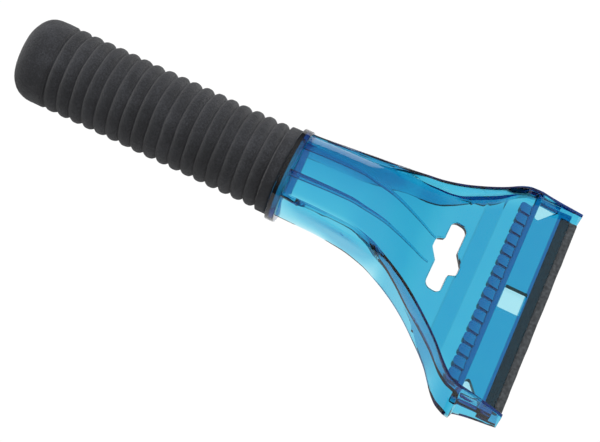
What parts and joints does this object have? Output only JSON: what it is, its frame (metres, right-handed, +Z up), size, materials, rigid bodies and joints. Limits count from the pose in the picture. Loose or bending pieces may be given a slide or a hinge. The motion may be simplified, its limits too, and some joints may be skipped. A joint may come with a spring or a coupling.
{
  "type": "windshield ice scraper",
  "caption": "Hand ice scraper with a ribbed foam grip and a flared translucent plastic head: ice teeth underneath, a rubber strip in the blade edge and a slot to hang it by.",
  "frame": {"origin": "on the ground under the middle of the whole scraper, which rests on the two feet of the blade and on the collar", "axes": "+X along the handle towards the blade, +Y to the left across the blade as seen from behind the grip, +Z up, away from the glass that is scraped"},
  "size_m": [0.238, 0.1186, 0.0404],
  "materials": {
    "clear_blue_plastic": "polished, translucent blue, smooth on both sides",
    "black_foam": "matte closed-cell foam with a fine pore texture",
    "black_rubber": "satin"
  },
  "bodies": {
    "root": {"head": "clear_blue_plastic", "foam_grip": "black_foam", "squeegee_strip": "black_rubber"}
  },
  "joints": []
}
